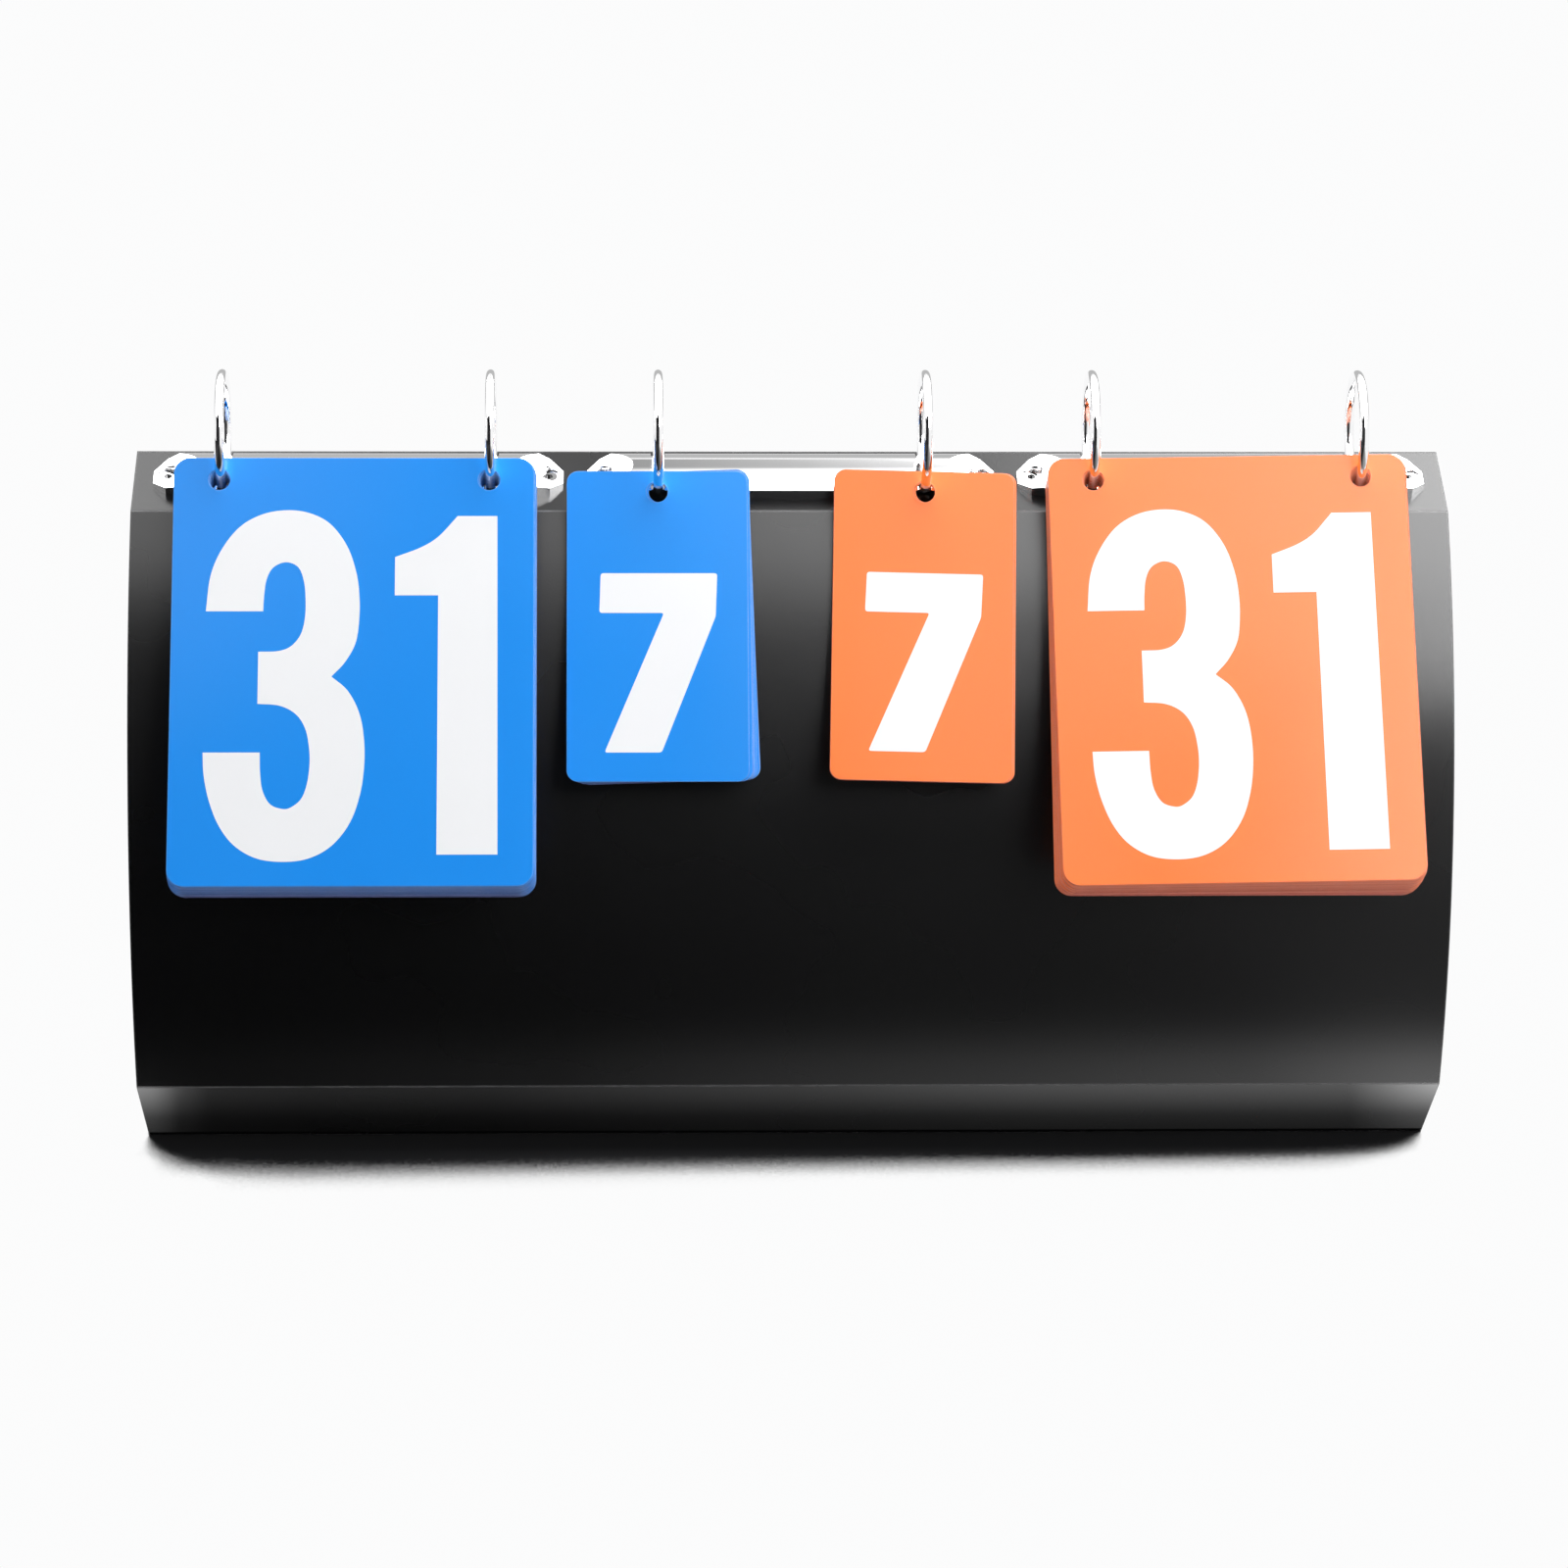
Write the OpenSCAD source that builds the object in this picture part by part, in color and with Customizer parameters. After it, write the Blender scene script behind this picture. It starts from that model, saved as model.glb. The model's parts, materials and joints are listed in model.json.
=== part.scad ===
// Tabletop flip scoreboard: a creased plastic stand with three ring mechanisms on its sloping top.
// Two stacks of large points cards and two of small sets cards hang on the six rings.
// +X is to the right, +Y to the rear, +Z up. The origin is the middle of the base flap's underside.
// A point of the stand's cross-section is [Y, Z].

/* [Stand] */
// Width of the stand along the table
stand_w = 395; // [386:1:430]
// Thickness of the plastic sheet
sheet_t = 1.2; // [0.8:0.1:1.6]
// Depth of the base flap that rests on the table
base_d = 87; // [80:1:100]
// Length of the bevel from the table up to the lower crease
bevel_len = 34; // [30:1:38]
// Forward lean of the bevel from upright
bevel_lean = 41; // [37:1:45]
// Straight distance between the front panel's two creases
panel_h = 174.3; // [168:0.1:184]
// Backward lean of the front panel from upright
panel_lean = 14.4; // [13:0.1:16]
// How far the front panel bows forward of its creases
panel_bow = 20.5; // [19:0.1:22]
// Depth of the sloping top that carries the rings
spine_d = 30.5; // [29:0.5:34]
// Rise of the sloping top towards the rear
spine_tilt = 18.5; // [18:0.1:22]
// How far each end of the bevel and of the base is set in
end_taper = 1.2; // [0.4:0.1:3]
// Height of the back panel's foot above the table
foot_lift = 0.5; // [0.3:0.1:1.5]

/* [Closure] */
// Height of the lip that tucks inside the back panel
lip_h = 17; // [15:0.5:17.5]
// Slant cut off each end of the lip
lip_cut = 9; // [4:1:15]
// Width of a closure pad
pad_w = 40; // [20:1:60]
// Height of a closure pad
pad_h = 11; // [8:0.5:12]
// Thickness of a closure pad
pad_t = 0.9; // [0.6:0.1:1.2]
// Distance of each closure pad from the middle of the stand
pad_x = 125; // [80:1:150]

/* [Ring mechanisms] */
// Distance between the middles of neighbouring mechanisms
unit_gap = 130; // [126:1:131]
// Length of a mechanism's cover
cover_len = 123; // [118:1:125]
// Width of the cover
cover_w = 19; // [18.5:0.1:19.5]
// Height of the cover's ridge above the sheet
cover_h = 6.2; // [6:0.1:6.6]
// Height of the cover's straight side
cover_side = 3.3; // [3.1:0.1:3.6]
// Thickness of the cover's steel
cover_t = 0.8; // [0.6:0.1:1]
// Length of the cover's end that slopes down to the sheet
cover_slope = 14; // [12:0.5:15]
// Height of the cover at its very end
cover_end_h = 1.3; // [1.2:0.1:1.6]
// Distance of a rivet from the cover's end
rivet_inset = 4.3; // [4.2:0.1:4.6]
// Radius of the round well whose floor a rivet clamps
well_r = 3.5; // [3.3:0.1:3.5]
// Distance between the two rings of a mechanism, and between a large card's holes
ring_gap = 80; // [76:1:82]
// Radius of a ring's centreline
ring_r = 17; // [16.5:0.1:17.5]
// Diameter of the ring wire
wire_d = 3; // [2.6:0.1:3.2]
// Height of the rings' centre above the sheet
ring_h = 18.3; // [17.9:0.1:19.2]
// Thickness of a hinged blade
blade_t = 0.8; // [0.6:0.1:1]
// Length of a blade
blade_len = 90; // [86:1:92]
// Angle by which the closed blades dip towards the middle
blade_dip = 3.5; // [2:0.5:5]
// Diameter of a rivet's shank
rivet_d = 3.6; // [3:0.1:4]
// Diameter of a rivet's rolled head
rivet_head_d = 5.8; // [5.2:0.1:6.2]
// Diameter of the hole through a rivet
rivet_bore_d = 2.4; // [1.8:0.1:2.6]

/* [Points cards] */
// Width of a large card
points_w = 107; // [100:1:112]
// Height of a large card
points_h = 131; // [120:0.5:134]
// Corner radius of a large card
points_r = 5; // [2:0.5:8]
// Distance of a large card's holes below its top edge
points_drop = 6.8; // [6:0.1:8]
// Number of large cards of one colour
points_count = 32; // [20:1:32]

/* [Sets cards] */
// Width of a small card
sets_w = 54; // [46:1:58]
// Height of a small card
sets_h = 96; // [84:1:104]
// Corner radius of a small card
sets_r = 3.5; // [2:0.5:6]
// Distance of a small card's hole below its top edge
sets_drop = 6.5; // [6:0.1:8]
// Number of small cards of one colour
sets_count = 8; // [4:1:10]

/* [All cards] */
// Thickness of a card
card_t = 0.3; // [0.2:0.01:0.32]
// Distance from one card to the next in a stack
card_pitch = 0.33; // [0.33:0.01:0.36]
// Lean of the hanging cards from upright
card_lean = 35; // [34:0.5:37]
// Diameter of a card's hole
hole_d = 6.4; // [6.2:0.1:6.6]
// Sideways stray of a card from the middle of its stack
card_stray = 0.35; // [0:0.05:0.6]
// Sideways turn of the blue sets cards from first to last
blue_splay = 2; // [0:0.1:3]
// Sideways turn of the orange sets cards
orange_turn = 1.5; // [0:0.1:3]
// Sideways turn of the orange points cards from first to last
orange_splay = 0.9; // [0:0.1:0.9]

/* [Clearances] */
// Gap left across a folding crease
crease_gap = 0.1; // [0.05:0.05:0.3]
// Gap between a closed lip's pads
mesh_gap = 0.2; // [0.1:0.05:0.4]
// Gap round a rivet's shank and a ring's foot
fit_gap = 0.05; // [0.03:0.01:0.1]
// Gap where the two halves of a ring meet
joint_gap = 0.1; // [0.05:0.05:0.3]
// Gap between a blade and the cover's wall, and between the blades
blade_gap = 0.25; // [0.2:0.05:0.4]
// Gap between the blades and the ledge that carries them
ledge_gap = 0.3; // [0.2:0.05:0.5]
// Gap round a ring where it leaves the cover
notch_gap = 0.6; // [0.5:0.1:1]
// Gap between the last card and the front panel's bow
bow_gap = 0.4; // [0.3:0.1:1]
// Gap between a ring and the top of a card's hole
hang_gap = 0.1; // [0.05:0.05:0.3]

/* [Hidden] */
$fn = 64;

sheet_colour = [0.10, 0.10, 0.11];
steel_colour = [0.82, 0.83, 0.85];
blue_colour = [0.18, 0.57, 0.93];
orange_colour = [1.0, 0.50, 0.24];
hook_colour = [0.05, 0.05, 0.05];
loop_colour = [0.16, 0.16, 0.17];

left = -1;
middle = 0;
right = 1;

function unit(v) = v / norm(v);
function inward(d) = [d.y, -d.x];

// Corners of the stand's outer face, from the table up the front and over the top
base_front = [-base_d / 2, 0];
base_rear = [base_d / 2, 0];
bevel_dir = [-sin(bevel_lean), cos(bevel_lean)];
low_crease = base_front + bevel_len * bevel_dir;
panel_dir = [sin(panel_lean), cos(panel_lean)];
top_crease = low_crease + panel_h * panel_dir;
spine_dir = [cos(spine_tilt), sin(spine_tilt)];
spine_rear = top_crease + spine_d * spine_dir;
spine_mid = (top_crease + spine_rear) / 2;

// The front panel's bow is an arc through its two creases
bow_r = (panel_h * panel_h / 4 + panel_bow * panel_bow) / (2 * panel_bow);
bow_half = asin(panel_h / 2 / bow_r);
bow_centre = (low_crease + top_crease) / 2 + (bow_r - panel_bow) * inward(panel_dir);
low_tangent = [sin(panel_lean - bow_half), cos(panel_lean - bow_half)];
top_tangent = [sin(panel_lean + bow_half), cos(panel_lean + bow_half)];

// The back panel's outer face lies this far behind the lip's outer face
closure_d = sheet_t + 2 * pad_t + mesh_gap;
rear_span = spine_rear - base_rear;
back_lean = atan2(rear_span.y, rear_span.x) - acos(closure_d / norm(rear_span));
back_dir = [sin(back_lean), -cos(back_lean)];
back_foot = spine_rear + (spine_rear.y - foot_lift) / cos(back_lean) * back_dir;

// Mitre lines, from each outer corner towards the inside
low_mitre = unit(low_tangent - bevel_dir);
top_mitre = unit(spine_dir - top_tangent);
rear_mitre = unit(back_dir - spine_dir);
front_mitre = unit(bevel_dir + [1, 0]);
fold_mitre = unit([-1, 0] - back_dir);

base_w = stand_w - 2 * end_taper;
half_crease = crease_gap / 2;
pad_lift = (lip_h - pad_h) * 2 / 3;

// Ring mechanism, in a frame whose Y runs up the sloping top and whose Z stands off it
wire_r = wire_d / 2;
arch_r = (pow(cover_w / 2, 2) + pow(cover_h - cover_side, 2)) / (2 * (cover_h - cover_side));
rivet_x = cover_len / 2 - rivet_inset;
slope_x = cover_len / 2 - cover_slope;
// The cover's plan narrows to its end in two steps, each [distance from the end, half width]
end_half_w = 3;
chamfer = [4, 7.4];
shoulder_d = 10;
pivot_y = cover_w / 2 - cover_t - blade_gap;
pivot_z = 2.5;
blade_w = (pivot_y - blade_gap / 2) / cos(blade_dip);
ledge_top = pivot_z - blade_t / 2 - ledge_gap;
ledge_t = 0.6;
ledge_w = 1;
ledge_bite = 0.1;
ledge_len = blade_len + 4;
ledge_y = cover_w / 2 - cover_t + ledge_bite - ledge_w / 2;
notch_w = wire_d + 2 * notch_gap;
notch_y = pivot_y - wire_d;
notch_top = ring_h - sqrt(pow(ring_r, 2) - pow(cover_w / 2, 2)) + wire_r + notch_gap;
foot_angle = asin((ring_h - pivot_z) / ring_r);
joint_angle = asin(joint_gap / 2 / ring_r);
rivet_head_t = 0.8;

// Cards, in a frame whose Y runs up the cards and whose Z stands off their faces
ring_centre = spine_mid + ring_h * [-spine_dir.y, spine_dir.x];
card_normal = [-cos(card_lean), sin(card_lean)];
bow_offset = bow_r - (ring_centre - bow_centre) * card_normal;
rear_offset = bow_offset + bow_gap + card_t / 2;
points_x = unit_gap;
sets_x = ring_gap / 2;

function card_offset(i) = rear_offset + i * card_pitch;
function hole_top(z) =
    hang_gap - sqrt(pow(ring_r - wire_r, 2) - pow(abs(z) + card_t / 2, 2));
function stray(i) = card_stray * sin(137.5 * i);

// A section of the stand, drawn in [Y, Z], swept along X
module along_x(w) {
    rotate([90, 0, 90])
        linear_extrude(w, center = true)
            children();
}

// A straight strip of sheet from p to q with mitred ends and its inside on the right
module strip(p, q, p_mitre, q_mitre) {
    d = unit(q - p);
    p_in = p + p_mitre * sheet_t / (p_mitre * inward(d));
    q_in = q + q_mitre * sheet_t / (q_mitre * inward(d));
    polygon([p, q, q_in, p_in]);
}

module at_lip() {
    translate([0, base_rear.x, base_rear.y])
        rotate([back_lean, 0, 0])
            children();
}

module on_spine(x) {
    translate([x, spine_mid.x, spine_mid.y])
        rotate([spine_tilt, 0, 0])
            children();
}

module at_rings(x) {
    translate([x, ring_centre.x, ring_centre.y])
        rotate([90 - card_lean, 0, 0])
            children();
}

// The bowed front of the stand, between the two creases
module front_panel() {
    reach = 2 * panel_bow;
    low = low_crease + half_crease * low_tangent;
    color(sheet_colour)
        along_x(stand_w)
            intersection() {
                translate(bow_centre)
                    difference() {
                        circle(bow_r);
                        circle(bow_r - sheet_t);
                    }
                polygon([
                    top_crease - reach * top_mitre, top_crease + reach * top_mitre,
                    low + reach * low_mitre, low - reach * low_mitre
                ]);
            }
}

// The sloping top, drilled for the rivets of the three mechanisms
module spine_panel() {
    color(sheet_colour)
        difference() {
            along_x(stand_w)
                strip(top_crease, spine_rear - half_crease * spine_dir, top_mitre, rear_mitre);
            for (unit_x = [-unit_gap, 0, unit_gap], side = [-1, 1])
                on_spine(unit_x + side * rivet_x)
                    cylinder(d = rivet_d + 2 * fit_gap, h = 4 * sheet_t, center = true);
        }
}

// The bevel under the bow, a little narrower at the table than at the crease
module lower_bevel() {
    low = low_crease - half_crease * bevel_dir;
    front = base_front + half_crease * bevel_dir;
    top_z = low_crease.y + sheet_t;
    top_set_in = -end_taper * sheet_t / low_crease.y;
    color(sheet_colour)
        intersection() {
            along_x(stand_w)
                strip(front, low, front_mitre, low_mitre);
            rotate([90, 0, 0])
                linear_extrude(2 * base_d, center = true)
                    polygon([
                        [-base_w / 2, 0], [base_w / 2, 0],
                        [stand_w / 2 - top_set_in, top_z], [-stand_w / 2 + top_set_in, top_z]
                    ]);
        }
}

// The flap that lies on the table
module base_flap() {
    color(sheet_colour)
        along_x(base_w)
            strip(base_rear, base_front + [half_crease, 0], fold_mitre, front_mitre);
}

// The lip at the rear of the base flap, tucked up inside the back panel
module closing_lip() {
    top = base_rear - lip_h * back_dir;
    color(sheet_colour)
        intersection() {
            along_x(base_w)
                strip(top, base_rear, inward(back_dir), fold_mitre);
            at_lip()
                rotate([90, 0, 0])
                    linear_extrude(4 * sheet_t, center = true)
                        polygon([
                            [-base_w / 2, -sheet_t], [base_w / 2, -sheet_t], [base_w / 2, sheet_t],
                            [base_w / 2 - lip_cut, lip_h], [-base_w / 2 + lip_cut, lip_h],
                            [-base_w / 2, sheet_t]
                        ]);
        }
}

// The rear wall, hung from the sloping top
module back_panel() {
    color(sheet_colour)
        along_x(stand_w)
            strip(spine_rear + half_crease * back_dir, back_foot, rear_mitre, inward(back_dir));
}

// A closure pad on each side, its back at y and its face to the rear
module closure_pads(y) {
    for (side = [-1, 1])
        at_lip()
            translate([side * pad_x - pad_w / 2, y, pad_lift])
                cube([pad_w, pad_t, pad_h]);
}

module hook_pads() {
    color(hook_colour)
        closure_pads(0);
}

module loop_pads() {
    color(loop_colour)
        closure_pads(pad_t + mesh_gap);
}

// A cover's plan: straight sides that narrow to flat ends
module cover_plan(inset) {
    end_x = cover_len / 2 - inset;
    corners = [
        [end_x, end_half_w - inset],
        [end_x - chamfer.x, chamfer.y - inset],
        [end_x - shoulder_d, cover_w / 2 - inset]
    ];
    for (side = [0, 1])
        mirror([side, 0])
            polygon([
                [0, cover_w / 2 - inset], corners[2], corners[1], corners[0],
                [corners[0].x, -corners[0].y], [corners[1].x, -corners[1].y],
                [corners[2].x, -corners[2].y], [0, inset - cover_w / 2]
            ]);
}

// A cover's block with an arched top and sloping ends, or the block that hollows it
module cover_form(inset) {
    half_w = cover_w / 2 - inset;
    half_len = cover_len / 2;
    low = inset > 0 ? -1 : 0;
    intersection() {
        along_x(cover_len)
            intersection() {
                translate([0, cover_h - arch_r])
                    circle(arch_r - inset);
                translate([-half_w, low])
                    square([2 * half_w, cover_h - low]);
            }
        rotate([90, 0, 0])
            linear_extrude(2 * cover_w, center = true)
                polygon([
                    [-half_len, low], [-half_len, cover_end_h - inset], [-slope_x, cover_h - inset],
                    [slope_x, cover_h - inset], [half_len, cover_end_h - inset], [half_len, low]
                ]);
        linear_extrude(2 * cover_h, center = true)
            cover_plan(inset);
    }
}

// The pressed steel cover, with notches for the rings and a round well for each rivet
module ring_cover(unit_x) {
    color(steel_colour)
        on_spine(unit_x)
            difference() {
                union() {
                    difference() {
                        cover_form(0);
                        difference() {
                            cover_form(cover_t);
                            for (side = [-1, 1])
                                translate([side * rivet_x, 0, 0])
                                    cylinder(r = well_r + cover_t, h = cover_h);
                        }
                    }
                    for (side = [-1, 1])
                        translate([-ledge_len / 2, side * ledge_y - ledge_w / 2, ledge_top - ledge_t])
                            cube([ledge_len, ledge_w, ledge_t]);
                }
                for (side = [-1, 1])
                    translate([side * rivet_x, 0, 0]) {
                        translate([0, 0, cover_t])
                            cylinder(r = well_r, h = cover_h);
                        cylinder(d = rivet_d + 2 * fit_gap, h = 2 * cover_h);
                    }
                for (ring = [-1, 1], side = [-1, 1])
                    translate([ring * ring_gap / 2 - notch_w / 2, side > 0 ? notch_y : -cover_w, -1])
                        cube([notch_w, cover_w - notch_y, notch_top + 1]);
            }
}

// A rear half ring's wire from its foot under the cover to its top
module wire_arc(foot, top, r) {
    translate([0, 0, ring_h])
        rotate([90, 0, 90])
            rotate([0, 0, -foot])
                rotate_extrude(angle = foot + top)
                    translate([ring_r, 0])
                        circle(r);
}

// One of the two hinged blades under the cover, notched round its rings' feet
module blade(unit_x, side) {
    color(steel_colour)
        on_spine(unit_x)
            mirror([0, side > 0 ? 0 : 1, 0])
                difference() {
                    translate([0, pivot_y, pivot_z])
                        rotate([blade_dip, 0, 0])
                            translate([-blade_len / 2, -blade_w, -blade_t / 2])
                                cube([blade_len, blade_w, blade_t]);
                    for (ring = [-1, 1])
                        translate([ring * ring_gap / 2, 0, 0])
                            wire_arc(foot_angle + 2, 0, wire_r + fit_gap);
                }
}

// The two half rings that one blade carries
module half_rings(unit_x, side) {
    color(steel_colour)
        on_spine(unit_x)
            mirror([0, side > 0 ? 0 : 1, 0])
                for (ring = [-1, 1])
                    translate([ring * ring_gap / 2, 0, 0])
                        wire_arc(foot_angle, 90 - joint_angle, wire_r);
}

// The tubular rivets that clamp the floors of a cover's wells to the sloping top
module rivets(unit_x) {
    roll_r = rivet_head_t / 2;
    color(steel_colour)
        for (side = [-1, 1])
            on_spine(unit_x + side * rivet_x)
                difference() {
                    union() {
                        translate([0, 0, -sheet_t - rivet_head_t])
                            cylinder(d = rivet_d, h = cover_t + sheet_t + 2 * rivet_head_t);
                        for (z = [cover_t, -sheet_t - rivet_head_t])
                            translate([0, 0, z]) {
                                cylinder(d = rivet_head_d - rivet_head_t, h = rivet_head_t);
                                translate([0, 0, roll_r])
                                    rotate_extrude()
                                        translate([rivet_head_d / 2 - roll_r, 0])
                                            circle(roll_r);
                            }
                    }
                    cylinder(d = rivet_bore_d, h = 4 * cover_h, center = true);
                }
}

// A card's face with round corners, its top edge at y = top
module card_face(w, h, r, top) {
    translate([-w / 2 + r, top - h])
        square([w - 2 * r, h]);
    translate([-w / 2, top - h + r])
        square([w, h - 2 * r]);
    for (x = [-w / 2 + r, w / 2 - r], y = [top - h + r, top - r])
        translate([x, y])
            circle(r);
}

// Large card i of its stack, counted from the stand, swung about its left hole by turn
module points_card(i, turn) {
    z = card_offset(i);
    hole_y = hole_top(z) - hole_d / 2;
    translate([stray(i) - ring_gap / 2, hole_y, z - card_t / 2])
        rotate([0, 0, turn])
            linear_extrude(card_t)
                difference() {
                    translate([ring_gap / 2, 0])
                        card_face(points_w, points_h, points_r, points_drop);
                    for (x = [0, ring_gap])
                        translate([x, 0])
                            circle(d = hole_d);
                }
}

// Small card i of its stack, counted from the stand, swung about its hole by turn
module sets_card(i, turn) {
    z = card_offset(i);
    hole_y = hole_top(z) - hole_d / 2;
    translate([stray(i), hole_y, z - card_t / 2])
        rotate([0, 0, turn])
            linear_extrude(card_t)
                difference() {
                    card_face(sets_w, sets_h, sets_r, sets_drop);
                    circle(d = hole_d);
                }
}

function blue_turn(i) = blue_splay * (1 - i / (sets_count - 1));
function points_turn(i) = orange_splay * i / (points_count - 1);

module blue_points_top_card() {
    color(blue_colour)
        at_rings(-points_x)
            points_card(points_count - 1, 0);
}

module blue_points_cards() {
    color(blue_colour)
        at_rings(-points_x)
            for (i = [0 : points_count - 2])
                points_card(i, 0);
}

module orange_points_top_card() {
    color(orange_colour)
        at_rings(points_x)
            points_card(points_count - 1, points_turn(points_count - 1));
}

module orange_points_cards() {
    color(orange_colour)
        at_rings(points_x)
            for (i = [0 : points_count - 2])
                points_card(i, points_turn(i));
}

module blue_sets_top_card() {
    color(blue_colour)
        at_rings(-sets_x)
            sets_card(sets_count - 1, blue_turn(sets_count - 1));
}

module blue_sets_cards() {
    color(blue_colour)
        at_rings(-sets_x)
            for (i = [0 : sets_count - 2])
                sets_card(i, blue_turn(i));
}

module orange_sets_top_card() {
    color(orange_colour)
        at_rings(sets_x)
            sets_card(sets_count - 1, -orange_turn);
}

module orange_sets_cards() {
    color(orange_colour)
        at_rings(sets_x)
            for (i = [0 : sets_count - 2])
                sets_card(i, -orange_turn);
}

front_panel();
spine_panel();
lower_bevel();
base_flap();
closing_lip();
back_panel();
hook_pads();
loop_pads();
ring_cover(left * unit_gap);  // left_ring_cover
ring_cover(middle * unit_gap);  // middle_ring_cover
ring_cover(right * unit_gap);  // right_ring_cover
blade(left * unit_gap, -1);  // left_front_blade
blade(middle * unit_gap, -1);  // middle_front_blade
blade(right * unit_gap, -1);  // right_front_blade
blade(left * unit_gap, 1);  // left_rear_blade
blade(middle * unit_gap, 1);  // middle_rear_blade
blade(right * unit_gap, 1);  // right_rear_blade
half_rings(left * unit_gap, -1);  // left_front_rings
half_rings(middle * unit_gap, -1);  // middle_front_rings
half_rings(right * unit_gap, -1);  // right_front_rings
half_rings(left * unit_gap, 1);  // left_rear_rings
half_rings(middle * unit_gap, 1);  // middle_rear_rings
half_rings(right * unit_gap, 1);  // right_rear_rings
rivets(left * unit_gap);  // left_rivets
rivets(middle * unit_gap);  // middle_rivets
rivets(right * unit_gap);  // right_rivets
blue_points_top_card();
blue_points_cards();
orange_points_top_card();
orange_points_cards();
blue_sets_top_card();
blue_sets_cards();
orange_sets_top_card();
orange_sets_cards();
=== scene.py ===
import json
import math
import bpy
import numpy as np
from mathutils import Matrix, Vector
from mathutils.geometry import tessellate_polygon


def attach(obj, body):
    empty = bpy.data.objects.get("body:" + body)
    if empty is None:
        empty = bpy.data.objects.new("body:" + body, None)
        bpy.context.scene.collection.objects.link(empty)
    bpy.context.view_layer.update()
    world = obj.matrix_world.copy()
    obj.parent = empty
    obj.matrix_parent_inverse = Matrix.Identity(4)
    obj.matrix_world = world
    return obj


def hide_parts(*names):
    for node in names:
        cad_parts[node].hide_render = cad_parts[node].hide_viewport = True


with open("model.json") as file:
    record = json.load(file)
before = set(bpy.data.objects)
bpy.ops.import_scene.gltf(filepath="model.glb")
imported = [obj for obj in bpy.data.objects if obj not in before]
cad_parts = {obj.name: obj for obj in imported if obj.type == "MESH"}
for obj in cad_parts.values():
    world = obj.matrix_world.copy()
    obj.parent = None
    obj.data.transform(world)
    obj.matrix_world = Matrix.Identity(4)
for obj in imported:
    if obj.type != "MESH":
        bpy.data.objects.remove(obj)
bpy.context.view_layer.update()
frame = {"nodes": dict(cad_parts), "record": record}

print("frame loaded:", len(frame["nodes"]), "nodes")

# The camera, fitted to the photograph
shot = {
    "place": (-0.05353, -1.58349, 0.69153),  # metres
    "yaw": 1.9108, "pitch": 20.5157, "roll": 0.5976,  # degrees, pitch looks down
    "lens": 125.434, "sensor": 36.0,  # millimetres
    "clip": (0.05, 50),
}


def addObject(name, data):
    piece = bpy.data.objects.new(name, data)
    bpy.context.collection.objects.link(piece)
    return piece


def makeCamera(values):
    yaw, pitch, roll = (math.radians(values[k]) for k in ("yaw", "pitch", "roll"))
    ahead = Vector((math.sin(yaw) * math.cos(pitch), math.cos(yaw) * math.cos(pitch), -math.sin(pitch)))
    level = Vector((math.cos(yaw), -math.sin(yaw), 0))
    upright = level.cross(ahead)
    right = math.cos(roll) * level + math.sin(roll) * upright
    up = math.cos(roll) * upright - math.sin(roll) * level
    data = bpy.data.cameras.new("photoCamera")
    data.lens, data.sensor_width = values["lens"], values["sensor"]
    data.clip_start, data.clip_end = values["clip"]
    camera = addObject("photoCamera", data)
    turn = Matrix((right, up, -ahead)).transposed().to_4x4()
    camera.matrix_world = Matrix.Translation(values["place"]) @ turn
    bpy.context.scene.camera = camera


makeCamera(shot)
bpy.context.scene.view_settings.view_transform = "Standard"
print("camera set")


# Node helpers
def newMaterial(name):
    material = bpy.data.materials.new(name)
    material.use_nodes = True
    tree = material.node_tree
    return material, tree, tree.nodes["Principled BSDF"]


def newBareMaterial(name):
    # without the usual shader, for what glows or is mixed in another way
    material, tree, shader = newMaterial(name)
    tree.nodes.remove(shader)
    return material, tree, next(n for n in tree.nodes if n.type == "OUTPUT_MATERIAL")


def addNode(tree, kind, **settings):
    node = tree.nodes.new(kind)
    for key, value in settings.items():
        setattr(node, key, value)
    return node


def feed(tree, value, socket):
    # numbers, colours as tuples and vectors as arrays are set on the socket, and outputs are linked to it
    if isinstance(value, tuple):
        socket.default_value = (*value, 1)
    elif isinstance(value, (int, float, np.ndarray)):
        socket.default_value = value
    else:
        tree.links.new(value, socket)


def mathNode(tree, operation, *values):
    node = addNode(tree, "ShaderNodeMath", operation=operation)
    for value, socket in zip(values, node.inputs):
        feed(tree, value, socket)
    return node.outputs[0]


def dotProduct(tree, first, second):
    node = addNode(tree, "ShaderNodeVectorMath", operation="DOT_PRODUCT")
    feed(tree, first, node.inputs[0])
    feed(tree, second, node.inputs[1])
    return node.outputs["Value"]


def mixColour(tree, factor, first, second):
    node = addNode(tree, "ShaderNodeMix", data_type="RGBA")
    sockets = {s.identifier: s for s in node.inputs}
    for name, value in (("Factor_Float", factor), ("A_Color", first), ("B_Color", second)):
        feed(tree, value, sockets[name])
    return next(s for s in node.outputs if s.identifier == "Result_Color")


def ramp(tree, value, low, high, outLow=0.0, outHigh=1.0, smooth=True):
    node = addNode(tree, "ShaderNodeMapRange", clamp=True)
    node.interpolation_type = "SMOOTHSTEP" if smooth else "LINEAR"
    for name, number in (("Value", value), ("From Min", low), ("From Max", high),
                         ("To Min", outLow), ("To Max", outHigh)):
        feed(tree, number, node.inputs[name])
    return node.outputs["Result"]


def objectPlace(tree):
    return addNode(tree, "ShaderNodeTexCoord").outputs["Object"]


def objectAxis(tree, axis):
    axes = addNode(tree, "ShaderNodeSeparateXYZ")
    tree.links.new(objectPlace(tree), axes.inputs[0])
    return axes.outputs[axis]


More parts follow.
